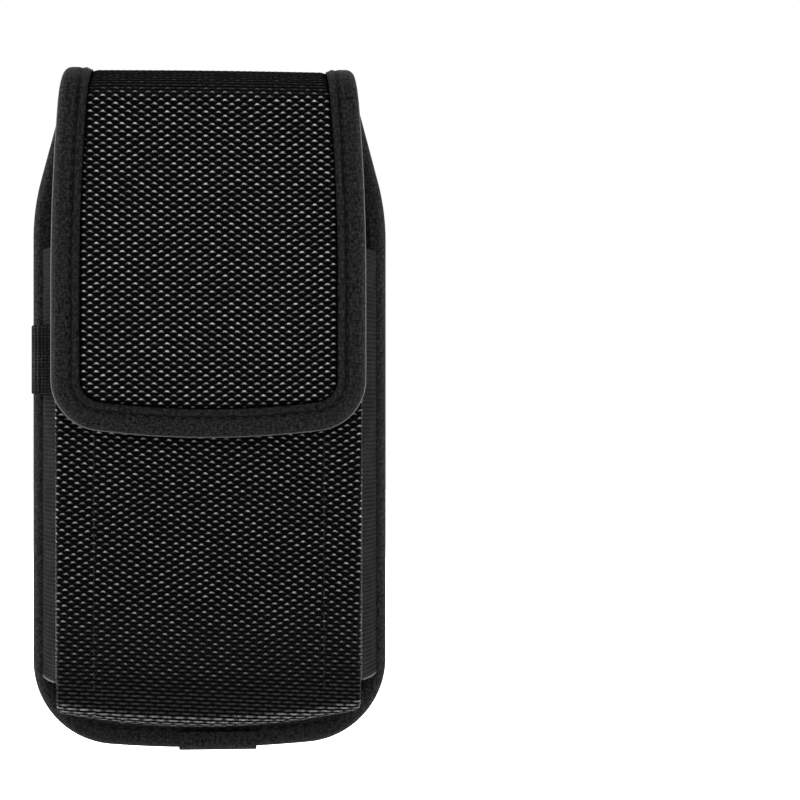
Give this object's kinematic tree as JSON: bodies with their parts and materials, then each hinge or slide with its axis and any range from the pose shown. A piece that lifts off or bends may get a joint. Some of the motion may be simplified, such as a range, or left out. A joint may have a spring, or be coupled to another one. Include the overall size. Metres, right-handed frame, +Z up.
{
  "type": "phone belt holster",
  "caption": "Sewn nylon belt holster for a phone: padded pocket with elastic sides, hinged flap, two belt tunnels, pen loop, D-ring and small carabiner.",
  "frame": {"origin": "in the belt tunnel under the centre strap, half way up it, half way through its gap and on the holster's middle plane", "axes": "+Z up towards the flap's fold, +Y towards the wearer, -Y the flap's front, +X to the right seen from the front"},
  "size_m": [0.0923, 0.0437, 0.1765],
  "materials": {
    "ballistic_nylon": "black ballistic nylon in a coarse basket weave with bright filament floats",
    "binding_tape": "matte black folded tape with a fine twill and stitching",
    "elastic_webbing": "black ribbed elastic",
    "lining": "smooth black lining",
    "loop_tape": "fuzzy loop side of hook-and-loop tape",
    "hook_tape": "hook side of hook-and-loop tape",
    "webbing": "black narrow webbing",
    "nickel_wire": "bright nickel-plated wire, slightly warm",
    "black_anodised": "glossy black anodised aluminium rod",
    "bright_aluminium": "bright drawn aluminium tube",
    "pin_steel": "bright steel pin",
    "spring_steel": "spring wire"
  },
  "bodies": {
    "holster": {"back_panel": "ballistic_nylon", "back_lining": "lining", "back_binding": "binding_tape", "bottom_tab": "binding_tape", "front_panel": "ballistic_nylon", "front_lining": "lining", "mouth_binding": "binding_tape", "gusset_left": "elastic_webbing", "gusset_right": "elastic_webbing", "pen_loop": "elastic_webbing", "loop_patch": "loop_tape", "belt_panel": "ballistic_nylon", "belt_strap": "ballistic_nylon", "ring_tab": "webbing"},
    "flap": {"flap_panel": "ballistic_nylon", "flap_lining": "lining", "flap_binding": "binding_tape", "hook_patch": "hook_tape"},
    "ring": {"d_ring": "nickel_wire"},
    "carabiner": {"carabiner_body": "black_anodised", "gate_rivet": "pin_steel"},
    "gate": {"carabiner_gate": "bright_aluminium", "latch_pin": "pin_steel", "gate_spring": "spring_steel", "spring_pusher": "pin_steel"}
  },
  "joints": [
    {"name": "flap_fold", "type": "hinge", "parent": "holster", "child": "flap", "pos_m": [0, -0.0068, 0.08315], "axis": [-1, 0, 0], "range_deg": [0, 165]},
    {"name": "ring_swing", "type": "hinge", "parent": "holster", "child": "ring", "pos_m": [0.0006, -0.0013, 0.0563], "axis": [-1, 0, 0], "range_deg": [0, 80]},
    {"name": "carabiner_swing", "type": "hinge", "parent": "ring", "child": "carabiner", "pos_m": [-0.0055, 0.00156, 0.06334], "axis": [-1, 0, 0], "range_deg": [-80, 0]},
    {"name": "gate_pivot", "type": "hinge", "parent": "carabiner", "child": "gate", "pos_m": [-0.01519, 0.00308, 0.05532], "axis": [0, -0.9921, -0.1253], "range_deg": [0, 22], "stiffness_Nm_per_rad": 0.012, "springref_deg": -45.84}
  ],
  "couplings": [
    {"joint": "carabiner_swing", "follows": "ring_swing", "ratio": -1}
  ]
}
